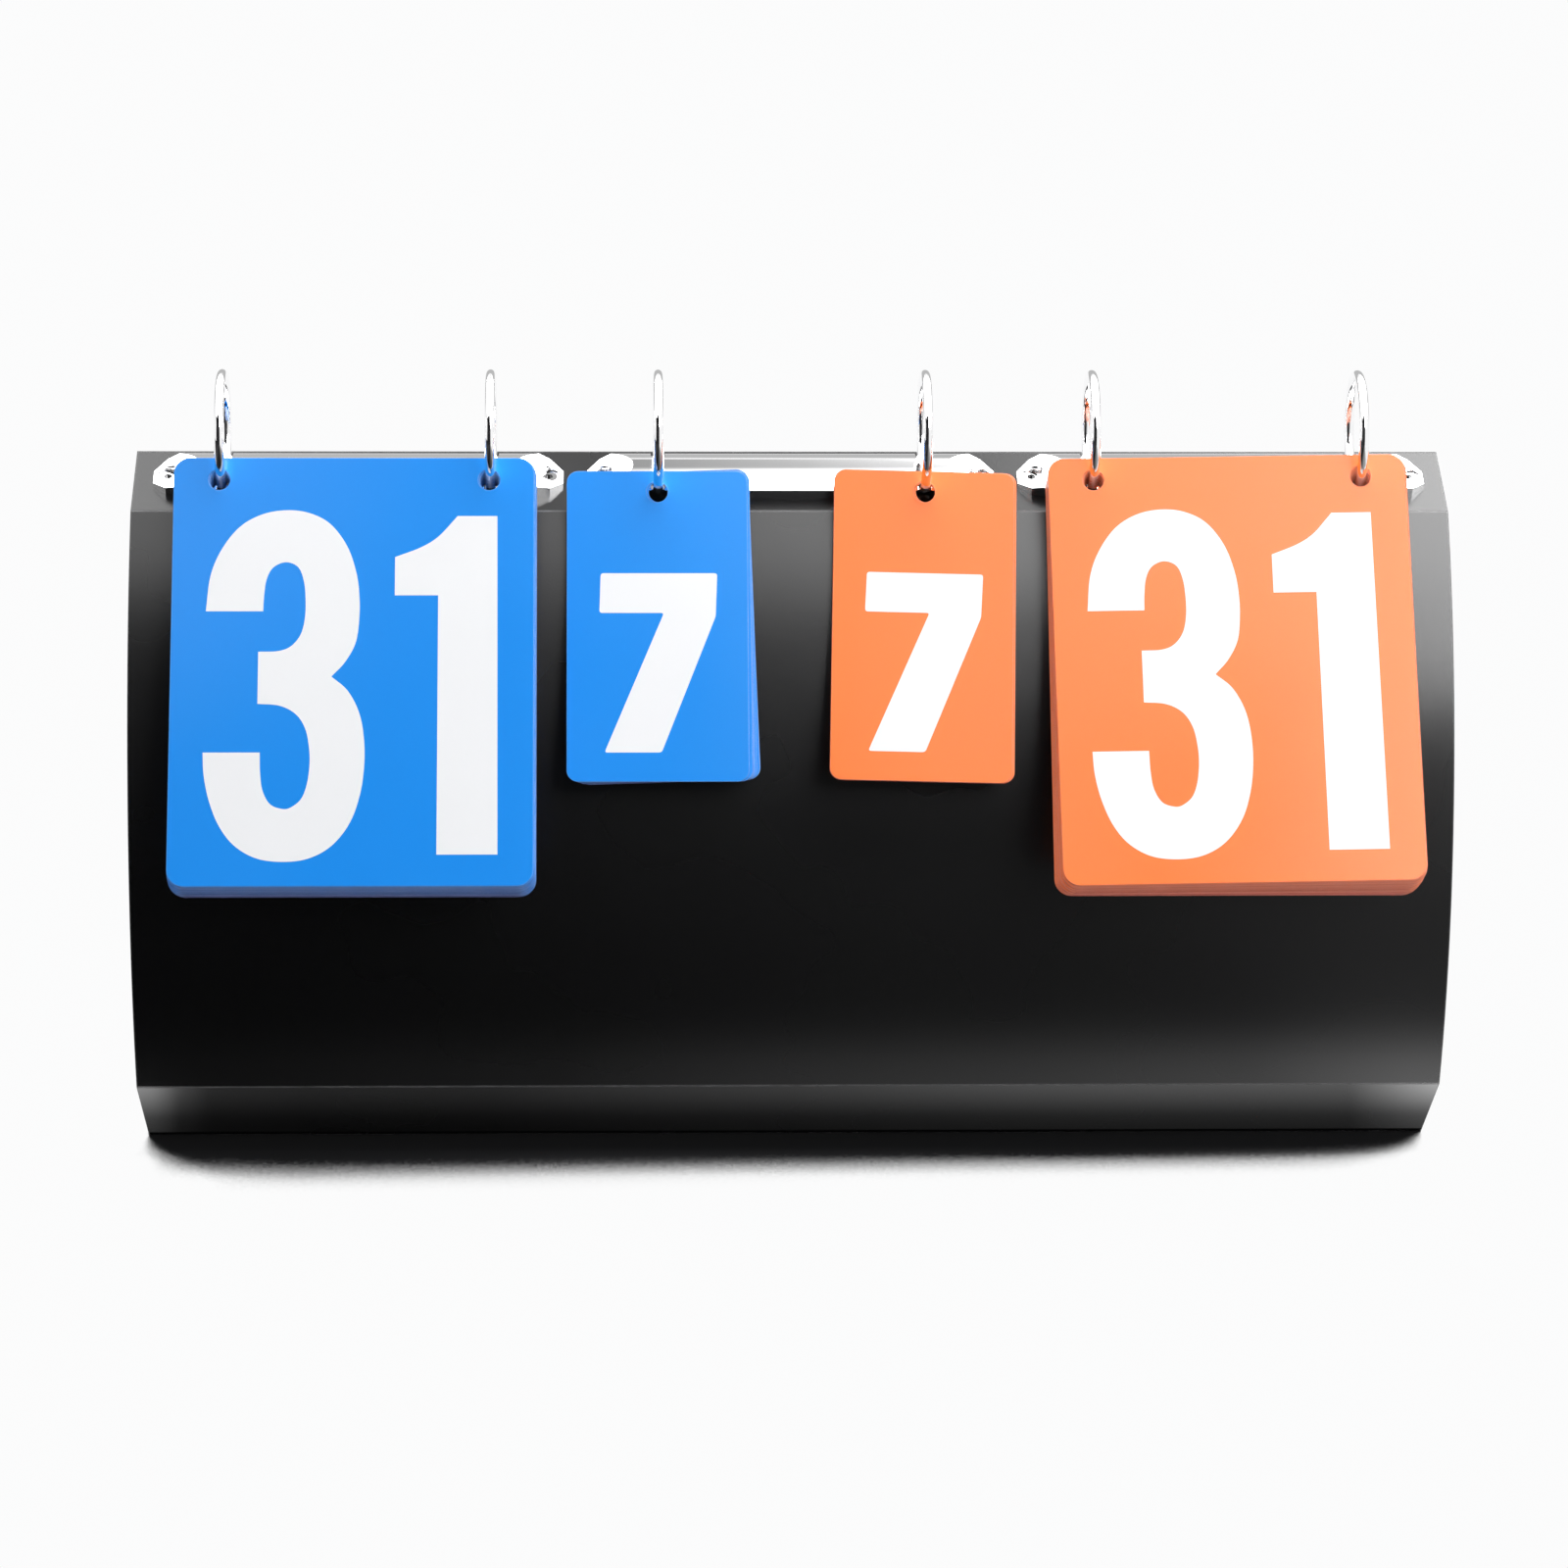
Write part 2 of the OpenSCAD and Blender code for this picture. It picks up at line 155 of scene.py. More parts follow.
# Effects that several materials share
grainEffect = {"grainDetail": 3.0, "smudgeDetail": 2.0}
edgeEffect = {"samples": 4, "bend": (0.995, 0.90), "noiseScale": 180}


def newGroup(name, inputs, outputs):
    group = bpy.data.node_groups.new(name, "ShaderNodeTree")
    for label in inputs:
        group.interface.new_socket(label, in_out="INPUT", socket_type="NodeSocketFloat")
    for label, kind in outputs.items():
        group.interface.new_socket(label, in_out="OUTPUT", socket_type=kind)
    return group, group.nodes.new("NodeGroupInput").outputs, group.nodes.new("NodeGroupOutput").inputs


def makeGrainGroup(values):
    # fine grain as a height, and broad smudges as a mask, both on object coordinates
    group, given, result = newGroup("grain", ("Grain Size", "Smudge Size"),
                                    {"Height": "NodeSocketFloat", "Smudge": "NodeSocketFloat"})
    place = objectPlace(group)
    for size, output, detail in (("Grain Size", "Height", values["grainDetail"]),
                                 ("Smudge Size", "Smudge", values["smudgeDetail"])):
        noise = addNode(group, "ShaderNodeTexNoise")
        noise.inputs["Detail"].default_value = detail
        group.links.new(place, noise.inputs["Vector"])
        group.links.new(mathNode(group, "DIVIDE", 1.0, given[size]), noise.inputs["Scale"])
        group.links.new(noise.outputs["Fac"], result[output])
    return group


def makeEdgeGroup(values):
    # 1 along a piece's edges, 0 on its flat faces, broken up by a little noise
    group, given, result = newGroup("edges", ("Reach", "Ragged"),
                                    {"Edge": "NodeSocketFloat", "Rounded": "NodeSocketVector"})
    rounded = addNode(group, "ShaderNodeBevel", samples=values["samples"])
    group.links.new(given["Reach"], rounded.inputs["Radius"])
    group.links.new(rounded.outputs["Normal"], result["Rounded"])
    shape = addNode(group, "ShaderNodeNewGeometry")
    likeness = dotProduct(group, rounded.outputs["Normal"], shape.outputs["Normal"])
    bent = ramp(group, likeness, *values["bend"])
    noise = addNode(group, "ShaderNodeTexNoise")
    noise.inputs["Scale"].default_value = values["noiseScale"]
    group.links.new(objectPlace(group), noise.inputs["Vector"])
    # noise breaks up the edge mask, which the sheet and cards use for painted highlights
    edgeBreakUp = mathNode(group, "MULTIPLY", noise.outputs["Fac"], given["Ragged"])
    left = mathNode(group, "SUBTRACT", 1.0, edgeBreakUp)
    group.links.new(mathNode(group, "MULTIPLY", bent, left), result["Edge"])
    return group


grainGroup = makeGrainGroup(grainEffect)
edgeGroup = makeEdgeGroup(edgeEffect)


def addGrain(tree, values):
    node = addNode(tree, "ShaderNodeGroup", node_tree=grainGroup)
    node.inputs["Grain Size"].default_value = values["grain"]
    node.inputs["Smudge Size"].default_value = values["smudge"]
    return node


def addEdges(tree, values):
    node = addNode(tree, "ShaderNodeGroup", node_tree=edgeGroup)
    node.inputs["Reach"].default_value = values["reach"]
    node.inputs["Ragged"].default_value = values["ragged"]
    return node


def addBump(tree, shader, height, values, under=None):
    bump = addNode(tree, "ShaderNodeBump")
    if under is not None:
        tree.links.new(under, bump.inputs["Normal"])
    bump.inputs["Strength"].default_value, bump.inputs["Distance"].default_value = values["bump"]
    tree.links.new(height, bump.inputs["Height"])
    tree.links.new(bump.outputs["Normal"], shader.inputs["Normal"])


def finishShader(tree, shader, values, colour, grain, under=None):
    # the roughness follows the smudges, and the grain is a fine bump
    smudges = ramp(tree, grain.outputs["Smudge"], *values["roughFade"], *values["rough"])
    for name, value in (("Base Color", colour), ("Roughness", smudges),
                        ("Specular IOR Level", values["specular"])):
        feed(tree, value, shader.inputs[name])
    addBump(tree, shader, grain.outputs["Height"], values, under)


# Materials, whose sizes are in metres; a bump is its strength and its height
sheetFinish = {
    "colour": (0.0026, 0.0026, 0.0030), "paintedCreaseHighlight": (0.24, 0.24, 0.245),  # the paler creases and edges are a painted highlight
    "rough": (0.26, 0.28), "roughFade": (0.3, 0.7), "specular": 0.5,
    "grain": 0.00045, "smudge": 0.06, "reach": 0.0007, "ragged": 0.7, "bump": (0.35, 0.00006),
}


def makeSheet(values):
    material, tree, shader = newMaterial("blackSheet")
    grain, edge = addGrain(tree, values), addEdges(tree, values)
    # painted highlight: the creases and edges are mixed towards a pale grey
    colour = mixColour(tree, edge.outputs["Edge"], values["colour"], values["paintedCreaseHighlight"])
    finishShader(tree, shader, values, colour, grain, edge.outputs["Rounded"])
    return material


steelFinish = {
    "colour": (0.96, 0.96, 0.965), "dull": (0.90, 0.90, 0.90), "dullFade": (0.55, 0.8),
    "rough": (0.06, 0.10), "roughFade": (0.3, 0.75), "specular": 0.5,
    "grain": 0.0012, "smudge": 0.015, "bump": (0.04, 0.00002),
}


def makeSteel(values):
    material, tree, shader = newMaterial("chromeSteel")
    shader.inputs["Metallic"].default_value = 1.0
    grain = addGrain(tree, values)
    dull = ramp(tree, grain.outputs["Smudge"], *values["dullFade"])
    finishShader(tree, shader, values, mixColour(tree, dull, values["colour"], values["dull"]), grain)
    return material


cardLean = 35.0  # degrees that the hanging cards lean back
cardFinish = {
    "wornFade": (0.2, 0.8), "rough": (0.17, 0.19), "roughFade": (0.3, 0.7),
    "grain": 0.0006, "smudge": 0.05, "bump": (0.10, 0.00002),
    "reach": 0.0005, "ragged": 0.5, "edgeShare": 0.6, "cutFade": (0.9, 0.5),
    # painted shade: the edges are darker where they face down, with the layers showing in that shade; the
    # sides and a thin rim round each face are paler, partly the card's pale core and partly a painted
    # highlight
    "shadeBelowFade": (0.3, 0.8), "layerFade": (0.35, 0.65), "layerPitch": 0.0012,
}
blueInks = {
    "face": (0.009, 0.252, 0.81), "worn": (0.010, 0.258, 0.82), "edge": (0.42, 0.56, 0.86),
    # under and layer are painted shade, the colours of the edges that face down
    "under": (0.035, 0.050, 0.19), "layer": (0.18, 0.21, 0.40), "specular": 0.25,
}
orangeInks = {
    "face": (0.97, 0.196, 0.036), "worn": (0.98, 0.202, 0.038), "edge": (0.98, 0.50, 0.40),
    # under and layer are painted shade, the colours of the edges that face down
    "under": (0.50, 0.075, 0.045), "layer": (0.72, 0.26, 0.20), "specular": 0.25,
}


def cardAxes(sideways=0.0):
    # the rightward, upward and outward axes of a card that leans back and is turned sideways by degrees
    lean, turn = math.radians(cardLean), math.radians(sideways)
    level, upright = np.array([1.0, 0, 0]), np.array([0, math.sin(lean), math.cos(lean)])
    right = math.cos(turn) * level + math.sin(turn) * upright
    up = math.cos(turn) * upright - math.sin(turn) * level
    return right, up, np.array([0, -math.cos(lean), math.sin(lean)])


def makeCard(name, values):
    material, tree, shader = newMaterial(name)
    grain, edge = addGrain(tree, values), addEdges(tree, values)
    up, out = cardAxes()[1:]
    shape = addNode(tree, "ShaderNodeNewGeometry")
    turned = addNode(tree, "ShaderNodeVectorTransform", vector_type="NORMAL",
                     convert_from="WORLD", convert_to="OBJECT")
    tree.links.new(shape.outputs["True Normal"], turned.inputs[0])
    faceOn, faceDown = (dotProduct(tree, turned.outputs[0], axis) for axis in (out, -up))
    # cut is 1 on the side walls and, through the edge mask, on a thin rim round each face: that pale rim is
    # partly the card's pale core and partly a painted highlight
    cut = mathNode(tree, "MAXIMUM", ramp(tree, mathNode(tree, "ABSOLUTE", faceOn), *values["cutFade"]),
                   mathNode(tree, "MULTIPLY", edge.outputs["Edge"], values["edgeShare"]))
    layers = addNode(tree, "ShaderNodeTexNoise", noise_dimensions="1D")
    layers.inputs["Scale"].default_value = 1 / values["layerPitch"]
    tree.links.new(dotProduct(tree, objectPlace(tree), out), layers.inputs["W"])
    # painted shade: edges that face down take the darker under and layer colours, banded by the layers
    layer, down, worn = (ramp(tree, mask, *values[fade]) for mask, fade in (
        (layers.outputs["Fac"], "layerFade"), (faceDown, "shadeBelowFade"), (grain.outputs["Smudge"], "wornFade")))
    rim = mixColour(tree, down, values["edge"], mixColour(tree, layer, values["under"], values["layer"]))
    face = mixColour(tree, worn, values["face"], values["worn"])
    finishShader(tree, shader, values, mixColour(tree, cut, face, rim), grain, edge.outputs["Rounded"])
    return material


inkFinish = {
    "colour": (0.83, 0.84, 0.86), "worn": (0.845, 0.853, 0.87), "wornFade": (0.2, 0.8),
    "rough": (0.20, 0.22), "roughFade": (0.3, 0.7), "specular": 0.25,
    "grain": 0.0006, "smudge": 0.05, "bump": (0.08, 0.00002),
}


def makeInk(values):
    material, tree, shader = newMaterial("whiteInk")
    grain = addGrain(tree, values)
    worn = ramp(tree, grain.outputs["Smudge"], *values["wornFade"])
    finishShader(tree, shader, values, mixColour(tree, worn, values["colour"], values["worn"]), grain)
    return material


tapeFinish = {
    "hook": (0.006, 0.006, 0.007), "loop": (0.014, 0.014, 0.016), "tuftLight": 2.6, "tuftFade": (0.1, 0.7),
    "pile": 0.0007, "rough": 0.85, "bump": (0.8, 0.0003),
}


def makeTape(name, values, colour):
    # pale tufts on a darker ground
    material, tree, shader = newMaterial(name)
    tufts = addNode(tree, "ShaderNodeTexVoronoi")
    tufts.inputs["Scale"].default_value = 1 / values["pile"]
    tree.links.new(objectPlace(tree), tufts.inputs["Vector"])
    light = tuple(values["tuftLight"] * c for c in colour)
    shade = mixColour(tree, ramp(tree, tufts.outputs["Distance"], *values["tuftFade"]), light, colour)
    tree.links.new(shade, shader.inputs["Base Color"])
    shader.inputs["Roughness"].default_value = values["rough"]
    addBump(tree, shader, tufts.outputs["Distance"], values)
    return material


blackSheet = makeSheet(sheetFinish)
chromeSteel = makeSteel(steelFinish)
blueCard = makeCard("blueCard", {**cardFinish, **blueInks})
orangeCard = makeCard("orangeCard", {**cardFinish, **orangeInks})
whiteInk = makeInk(inkFinish)
hookTape = makeTape("hookTape", tapeFinish, tapeFinish["hook"])
loopTape = makeTape("loopTape", tapeFinish, tapeFinish["loop"])
finishOfSlot = {
    "black_sheet": blackSheet, "chrome_steel": chromeSteel, "blue_card": blueCard,
    "orange_card": orangeCard, "hook_tape": hookTape, "loop_tape": loopTape,
}


def paintNodes():
    for subpart in frame["record"]["subparts"]:
        node = frame["nodes"][subpart["node"]]
        for place in node.material_slots:
            place.material = finishOfSlot[subpart["material_slot"]]


paintNodes()
print("materials set")


# Printed numerals, in millimetres from a card's left edge and down from its top edge
def smoothRun(points, steps=10):
    # cubics from point to point; the slope at each is half the step between its two neighbours
    p = np.asarray(points, dtype=float)
    if len(p) < 3:
        return p
    p = np.vstack([2 * p[0] - p[1], p, 2 * p[-1] - p[-2]])
    t = np.linspace(0, 1, steps, endpoint=False)[:, None]
    a, b, c, d = (p[k:len(p) - 3 + k, None, :] for k in range(4))
    bend, twist = 2 * a - 5 * b + 4 * c - d, 3 * b - a - 3 * c + d
    curve = 0.5 * (2 * b + (c - a) * t + bend * t ** 2 + twist * t ** 3)
    return np.vstack([curve.reshape(-1, 2), p[-2]])


def joinRuns(runs):
    # runs end where the next one starts
    return np.vstack([smoothRun(run)[:-1] for run in runs])


def roundCorners(points, radius, steps=5):
    # each corner becomes a quadratic arc between points a radius along its sides
    p = np.asarray(points, dtype=float)
    before, after = np.roll(p, 1, axis=0) - p, np.roll(p, -1, axis=0) - p
    before /= np.linalg.norm(before, axis=1)[:, None]
    after /= np.linalg.norm(after, axis=1)[:, None]
    t = np.linspace(0, 1, steps)[None, :, None]
    start, end = (p + radius * before)[:, None, :], (p + radius * after)[:, None, :]
    arc = (1 - t) ** 2 * start + 2 * t * (1 - t) * p[:, None, :] + t ** 2 * end
    return arc.reshape(-1, 2)


def oval(centre, half, power, count=72):
    # a superellipse: cosine and sine to the power 2 / power, times half the width and half the height
    a = np.linspace(0, 2 * np.pi, count, endpoint=False)
    c, s = np.cos(a), np.sin(a)
    return np.column_stack([centre[0] + half[0] * np.sign(c) * np.abs(c) ** (2 / power),
                            centre[1] + half[1] * np.sign(s) * np.abs(s) ** (2 / power)])


millimetre = 0.001
digitRuns = {
    "three": [
        [(10.2, 47.5), (27.1, 47.5)],
        [(27.1, 47.5), (27.3, 42.6), (28.0, 37.6), (29.9, 34.0), (33.6, 32.4), (37.2, 33.9), (38.9, 38.0),
         (39.5, 43.5), (39.4, 49.5), (38.2, 54.6), (35.4, 58.2), (31.6, 59.7), (25.8, 59.9)],
        [(25.8, 59.9), (25.8, 75.8)],
        [(25.8, 75.8), (32.3, 76.4), (37.1, 79.0), (39.9, 83.4), (41.1, 89.2), (41.3, 94.6), (40.6, 100.2),
         (39.0, 104.6), (36.2, 107.1), (33.7, 107.7), (30.0, 106.3), (27.7, 102.2), (26.9, 96.8),
         (26.7, 90.6)],
        [(26.7, 90.6), (10.0, 90.6)],
        [(10.0, 90.6), (10.4, 97.4), (12.0, 105.0), (15.0, 112.6), (19.5, 118.6), (26.0, 122.5),
         (33.7, 123.6), (41.3, 122.6), (48.0, 118.8), (53.2, 112.0), (56.1, 103.6), (57.3, 94.6),
         (57.1, 86.0), (55.6, 78.4), (52.2, 71.8), (47.4, 67.5)],
        [(47.4, 67.5), (51.4, 63.0), (54.4, 57.2), (55.4, 50.0), (55.4, 43.0), (54.4, 35.6), (51.6, 27.4),
         (46.6, 20.6), (40.4, 17.2), (33.6, 16.3), (26.4, 17.6), (19.8, 21.5), (14.6, 28.4), (11.4, 36.6),
         (10.2, 47.5)],
    ],
    "one": [
        [(96.0, 18.1), (84.2, 18.1)],
        [(84.2, 18.1), (82.6, 20.0), (78.4, 24.6), (73.4, 27.8), (65.8, 30.8)],
        [(65.8, 30.8), (65.8, 42.6)],
        [(65.8, 42.6), (78.6, 42.6)],
        [(78.6, 42.6), (78.6, 121.5)],
        [(78.6, 121.5), (96.4, 121.5)],
        [(96.4, 121.5), (96.0, 18.1)],
    ],
}
digitOvals = {"centre": (80.2, 69.8), "halves": [(22.8, 53.8), (6.9, 38.0)], "power": 2.7}
digitCorners = {
    "seven": [(10.1, 31.9), (44.8, 31.9), (44.3, 45.2), (28.1, 87.1), (11.2, 87.1), (28.9, 44.2),
              (9.7, 44.2)],
    "six": [(43.4, 31.9), (43.4, 50.6), (31.4, 50.6), (31.4, 43.6), (22.4, 43.6), (22.4, 52.4),
            (43.4, 52.4), (43.4, 87.1), (10.1, 87.1), (10.1, 31.9)],
    "sixEye": [(22.4, 63.4), (31.4, 63.4), (31.4, 76.0), (22.4, 76.0)],
}
cornerRadius = {"seven": 0.9, "six": 1.6, "sixEye": 1.2}
three, one = joinRuns(digitRuns["three"]), joinRuns(digitRuns["one"])
zero = [oval(digitOvals["centre"], half, digitOvals["power"]) for half in digitOvals["halves"]]
seven, six, sixEye = (roundCorners(corners, cornerRadius[name]) for name, corners in digitCorners.items())

cardSet = {
    "thick": 0.00030, "slack": 1.03, "proud": 0.00004,  # slack finds the outermost card by its thickness
    "turns": {  # sideways turn in degrees of the outermost card of each node
        "blue_points_top_card": 0.0, "blue_points_cards": 0.0,
        "orange_points_top_card": 0.9, "orange_points_cards": 0.9 * 30 / 31,
        "blue_sets_top_card": 0.0, "blue_sets_cards": 2.0 / 7,
        "orange_sets_top_card": -1.5, "orange_sets_cards": -1.5,
    },
}


def cardCorner(name, values):
    # the top left corner of a node's outermost card, with its rightward, upward and outward axes
    right, up, out = cardAxes(values["turns"][name])
    mesh = frame["nodes"][name].data
    spots = np.empty(3 * len(mesh.vertices), dtype=np.float64)
    mesh.vertices.foreach_get("co", spots)
    spots = spots.reshape(-1, 3)
    depth = spots @ out
    spots = spots[depth > depth.max() - values["slack"] * values["thick"]]
    return right * (spots @ right).min() + up * (spots @ up).max() + out * depth.max(), right, up, out


def signedArea(loop):
    # its sign tells which way a loop runs
    x, y = loop[:, 0], loop[:, 1]
    return 0.5 * float(np.sum(x * np.roll(y, -1) - np.roll(x, -1) * y))


def printNumeral(name, node, body, shapes, values):
    # flat plates of ink that stand a hair proud of the card: a cap, its underside and walls along each loop
    corner, right, up, out = cardCorner(node, values)
    spots, faces, first = [], [], 0
    for loops in shapes:
        loops = [loop if (signedArea(loop) < 0) == (k == 0) else loop[::-1] for k, loop in enumerate(loops)]
        plan = np.vstack(loops) * millimetre
        count = len(plan)
        face = corner + plan[:, :1] * right - plan[:, 1:] * up
        spots += [face + out * values["proud"], face - out * values["proud"]]
        triangles = np.array(tessellate_polygon([[Vector((*p, 0)) for p in loop] for loop in loops]))
        a, b, c = (plan[triangles[:, k]] for k in range(3))
        cross = (b[:, 0] - a[:, 0]) * (c[:, 1] - a[:, 1]) - (b[:, 1] - a[:, 1]) * (c[:, 0] - a[:, 0])
        triangles[cross > 0] = triangles[cross > 0][:, ::-1]  # y runs down, so outward faces turn clockwise
        faces += (triangles + first).tolist() + (triangles[:, ::-1] + first + count).tolist()
        start = first
        for loop in loops:
            here = start + np.arange(len(loop))
            after = np.roll(here, -1)
            faces += np.column_stack([here, here + count, after + count, after]).tolist()
            start += len(loop)
        first += 2 * count
    mesh = bpy.data.meshes.new(name)
    mesh.from_pydata(np.vstack(spots).tolist(), [], faces)
    mesh.materials.append(whiteInk)
    piece = addObject(name, mesh)
    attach(piece, body)


for team in ("blue", "orange"):
    for kind, shapes, nextShapes in (("points", [[three], [one]], [[three], zero]),
                                     ("sets", [[seven]], [[six, sixEye]])):
        pack = f"{team}_{kind}"
        printNumeral(f"{pack}_top_numeral", f"{pack}_top_card", f"{pack}_top",
                     shapes, cardSet)
        printNumeral(f"{pack}_next_numeral", f"{pack}_cards", f"{pack}_stack",
                     nextShapes, cardSet)
print("numerals printed")


# Ring wires, smoother than the solids' facets and with a chamfered joint on top
ringWire = {
    "radius": 0.017, "wire": 0.0015, "foot": 68.3, "joint": 0.17,  # metres and degrees
    "chamfer": 0.00025, "belly": (0.4, 0.35),  # belly rounds the chamfer, as shares of its length and depth
    "closed": 1e-5, "along": 96, "round": 32,  # closed is the radius to which the ends close
    "unitX": {"left": -0.130, "middle": 0.0, "right": 0.130}, "gap": 0.080,
    "tilt": 18.5, "centre": (-0.0138041, 0.2166774),
}


def gridFaces(spots, flip):
    # quads of a grid that closes round its second direction, with a cap of one face at each end
    rows, columns = spots.shape[:2]
    index = np.arange(rows * columns).reshape(rows, columns)
    after = np.roll(index, -1, axis=1)
    quads = np.stack([index[:-1], after[:-1], after[1:], index[1:]], axis=-1).reshape(-1, 4)
    if flip:
        quads = quads[:, ::-1]
    caps = [index[0].tolist()[::(1 if flip else -1)], index[-1].tolist()[::(-1 if flip else 1)]]
    return spots.reshape(-1, 3), quads.tolist(), caps


def ringHalf(values, x, side):
    # a circle of wire carried along the arc from its foot under the cover to its tip, closed at both ends
    a = np.radians(np.linspace(-values["foot"], 90 - values["joint"], values["along"]))
    step = values["chamfer"] / values["radius"]
    back, deep = values["belly"]
    a = np.concatenate([a[:1], a[:-1], a[-1] - step * np.array([1, back, 0, 0])])
    wire = np.full(len(a), values["wire"])
    wire[0] = wire[-1] = values["closed"]
    wire[-3:-1] -= values["chamfer"] * np.array([deep, 1])
    b = np.linspace(0, 2 * np.pi, values["round"], endpoint=False)
    reach = values["radius"] + wire[:, None] * np.cos(b)
    along, high = side * np.cos(a)[:, None] * reach, np.sin(a)[:, None] * reach
    aside = np.broadcast_to(wire[:, None] * np.sin(b), reach.shape)
    tilt = math.radians(values["tilt"])
    centre = values["centre"]
    spots = np.stack([x + aside, centre[0] + along * math.cos(tilt) - high * math.sin(tilt),
                      centre[1] + along * math.sin(tilt) + high * math.cos(tilt)], axis=-1)
    return gridFaces(spots, side > 0)


def makeRings(unit, half, values):
    side = -1 if half == "front" else 1
    name = f"{unit}_{half}_ring_wires"
    spots, faces, first = [], [], 0
    for ring in (-1, 1):
        points, quads, caps = ringHalf(values, values["unitX"][unit] + ring * values["gap"] / 2, side)
        faces += [[first + i for i in face] for face in quads + caps]
        spots.append(points)
        first += len(points)
    mesh = bpy.data.meshes.new(name)
    mesh.from_pydata(np.vstack(spots).tolist(), [], faces)
    mesh.polygons.foreach_set("use_smooth", np.ones(len(mesh.polygons), dtype=bool))
    mesh.materials.append(chromeSteel)
    piece = addObject(name, mesh)
    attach(piece, f"{unit}_{half}")
    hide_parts(f"{unit}_{half}_rings")


for unit in ringWire["unitX"]:
    for half in ("front", "rear"):
        makeRings(unit, half, ringWire)
print("rings made")


# The studio: a white floor and surroundings, two lamps, and what only reflections show
def seenRays(tree):
    # 1 for what the camera sees, directly or in metal and glass
    rays = addNode(tree, "ShaderNodeLightPath").outputs
    mirrored = mathNode(tree, "MAXIMUM", rays["Is Glossy Ray"], rays["Is Transmission Ray"])
    return mathNode(tree, "MAXIMUM", rays["Is Camera Ray"], mirrored)


def makeStageMesh(name, spots, faces, material):
    mesh = bpy.data.meshes.new(name)
    mesh.from_pydata(np.asarray(spots, dtype=float).tolist(), [], np.asarray(faces).tolist())
    mesh.materials.append(material)
    piece = addObject(name, mesh)
    return piece


def onlyMirrored(piece):
    piece.visible_camera = piece.visible_diffuse = piece.visible_shadow = False


paperFloor = {
    "half": 3.5, "paper": (0.88, 0.88, 0.89), "shadow": (0.035, 0.035, 0.037), "white": (0.997, 0.998, 1.0),
    "level": 0.972, "samples": 16, "shadowReach": 0.06, "shadowFade": (0.463, 0.573),
    "lean": 0.33, "leanReach": 0.25,  # the shadow ends sooner at the right, where the side lamp stands
}


def makeFloor(values):
    material, tree, output = newBareMaterial("paperFloor")
    seen = seenRays(tree)
    paper = addNode(tree, "ShaderNodeBsdfDiffuse")
    tree.links.new(mixColour(tree, seen, values["paper"], values["shadow"]), paper.inputs["Color"])
    white = addNode(tree, "ShaderNodeEmission")
    feed(tree, values["white"], white.inputs["Color"])
    white.inputs["Strength"].default_value = values["level"]
    near = addNode(tree, "ShaderNodeAmbientOcclusion", samples=values["samples"])
    near.inputs["Distance"].default_value = values["shadowReach"]
    reach, lean = values["leanReach"], values["leanReach"] * values["lean"]
    lit = mathNode(tree, "ADD", near.outputs["AO"],
                   ramp(tree, objectAxis(tree, "X"), -reach, reach, -lean, lean, smooth=False))
    mix = addNode(tree, "ShaderNodeMixShader")
    tree.links.new(mathNode(tree, "MULTIPLY", seen, ramp(tree, lit, *values["shadowFade"])), mix.inputs[0])
    tree.links.new(paper.outputs[0], mix.inputs[1])
    tree.links.new(white.outputs[0], mix.inputs[2])
    tree.links.new(mix.outputs[0], output.inputs["Surface"])
    half = values["half"]
    corners = [(-half, -half, 0), (half, -half, 0), (half, half, 0), (-half, half, 0)]
    makeStageMesh("studioFloor", corners, [(0, 1, 2, 3)], material)


surroundings = {"light": (0.30, 0.30, 0.30), "seen": (0.972, 0.972, 0.972)}


def makeWorld(values):
    world = bpy.data.worlds.new("studioWorld")
    world.use_nodes = True
    tree = world.node_tree
    glow = next(n for n in tree.nodes if n.type == "BACKGROUND")
    tree.links.new(mixColour(tree, seenRays(tree), values["light"], values["seen"]), glow.inputs["Color"])
    bpy.context.scene.world = world


lamps = {
    "overheadLamp": {"place": (0.22, -0.02, 1.25), "aim": (0.02, -0.03, 0.15), "size": (1.25, 0.95),
                     "power": 17.5},
    "sideLamp": {"place": (1.15, -1.25, 0.85), "aim": (0.0, -0.05, 0.12), "size": (0.8, 0.8), "power": 6.2},
}


def makeLamp(name, values):
    data = bpy.data.lights.new(name, "AREA")
    data.shape = "RECTANGLE"
    data.size, data.size_y = values["size"]
    data.energy = values["power"]
    lamp = addObject(name, data)
    turn = (Vector(values["aim"]) - Vector(values["place"])).to_track_quat("-Z", "Y").to_matrix().to_4x4()
    lamp.matrix_world = Matrix.Translation(values["place"]) @ turn
    lamp.visible_camera = lamp.visible_glossy = False  # surfaces mirror the softboxes below instead


def newGlow(name):
    material, tree, output = newBareMaterial(name)
    glow = addNode(tree, "ShaderNodeEmission")
    tree.links.new(glow.outputs[0], output.inputs["Surface"])
    return material, tree, glow


def glowAlong(tree, place, glow):
    # grey levels along one axis as shares of the greatest, and the greatest
    spots, level = (np.array(column) for column in zip(*glow))
    node = addNode(tree, "ShaderNodeValToRGB")
    shades = node.color_ramp.elements
    low, high = float(spots[0]), float(spots[-1])
    for position in (spots[1:-1] - low) / (high - low):
        shades.new(float(position))
    for element, shade in zip(shades, level / level.max()):
        element.color = (shade, shade, shade, 1)
    tree.links.new(ramp(tree, place, low, high, smooth=False), node.inputs["Fac"])
    return node.outputs["Color"], float(level.max())


